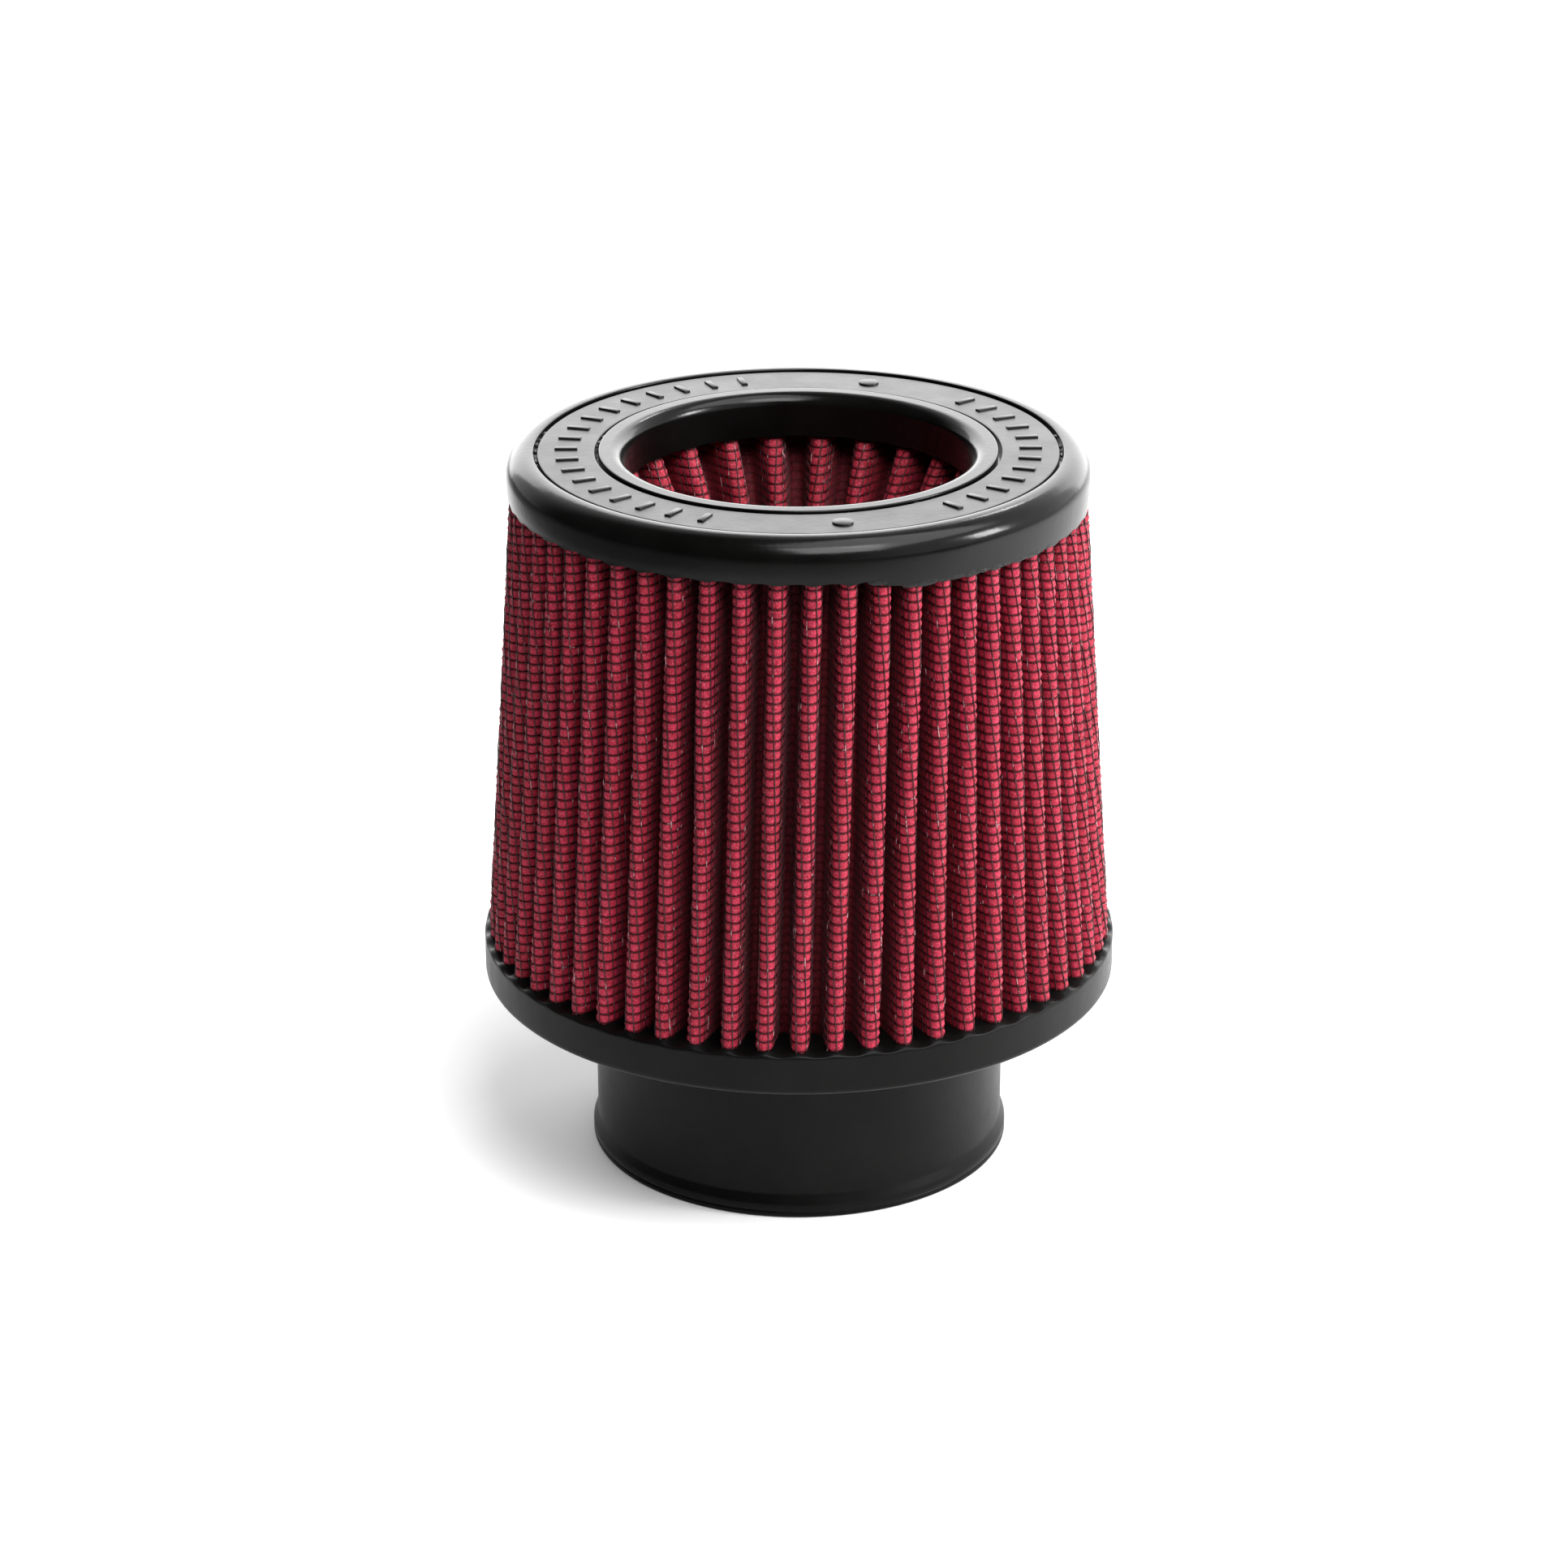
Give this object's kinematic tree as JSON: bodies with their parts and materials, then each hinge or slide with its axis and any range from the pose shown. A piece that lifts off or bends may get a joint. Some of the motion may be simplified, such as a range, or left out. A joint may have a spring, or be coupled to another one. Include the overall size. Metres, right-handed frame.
{
  "type": "performance air filter",
  "caption": "Cone-shaped engine air filter with red pleated media, black moulded ends, a clamp-on neck and an inverted cone in its top.",
  "frame": {"origin": "centre of the neck's lower end face, on the pipe axis, in the plane that the filter stands on", "axes": "+Z along the filter's axis from the neck to the top cap; -Y is the side that the picture shows; +X to its right"},
  "size_m": [0.1324, 0.1324, 0.1524],
  "materials": {
    "black_urethane": "satin",
    "band_urethane": "matt",
    "coated_screen": "satin",
    "red_gauze": "oiled",
    "bare_screen": "satin",
    "clip_metal": "brushed"
  },
  "bodies": {
    "root": {"base_flange": "black_urethane", "top_cap": "black_urethane", "top_band_ring": "band_urethane", "cone_end_plug": "black_urethane", "outer_wire_screen": "coated_screen", "outer_cotton_gauze": "red_gauze", "outer_backing_screen": "bare_screen", "outer_seam_clip": "clip_metal", "inner_wire_screen": "coated_screen", "inner_cotton_gauze": "red_gauze", "inner_backing_screen": "bare_screen", "inner_seam_clip": "clip_metal"}
  },
  "joints": []
}
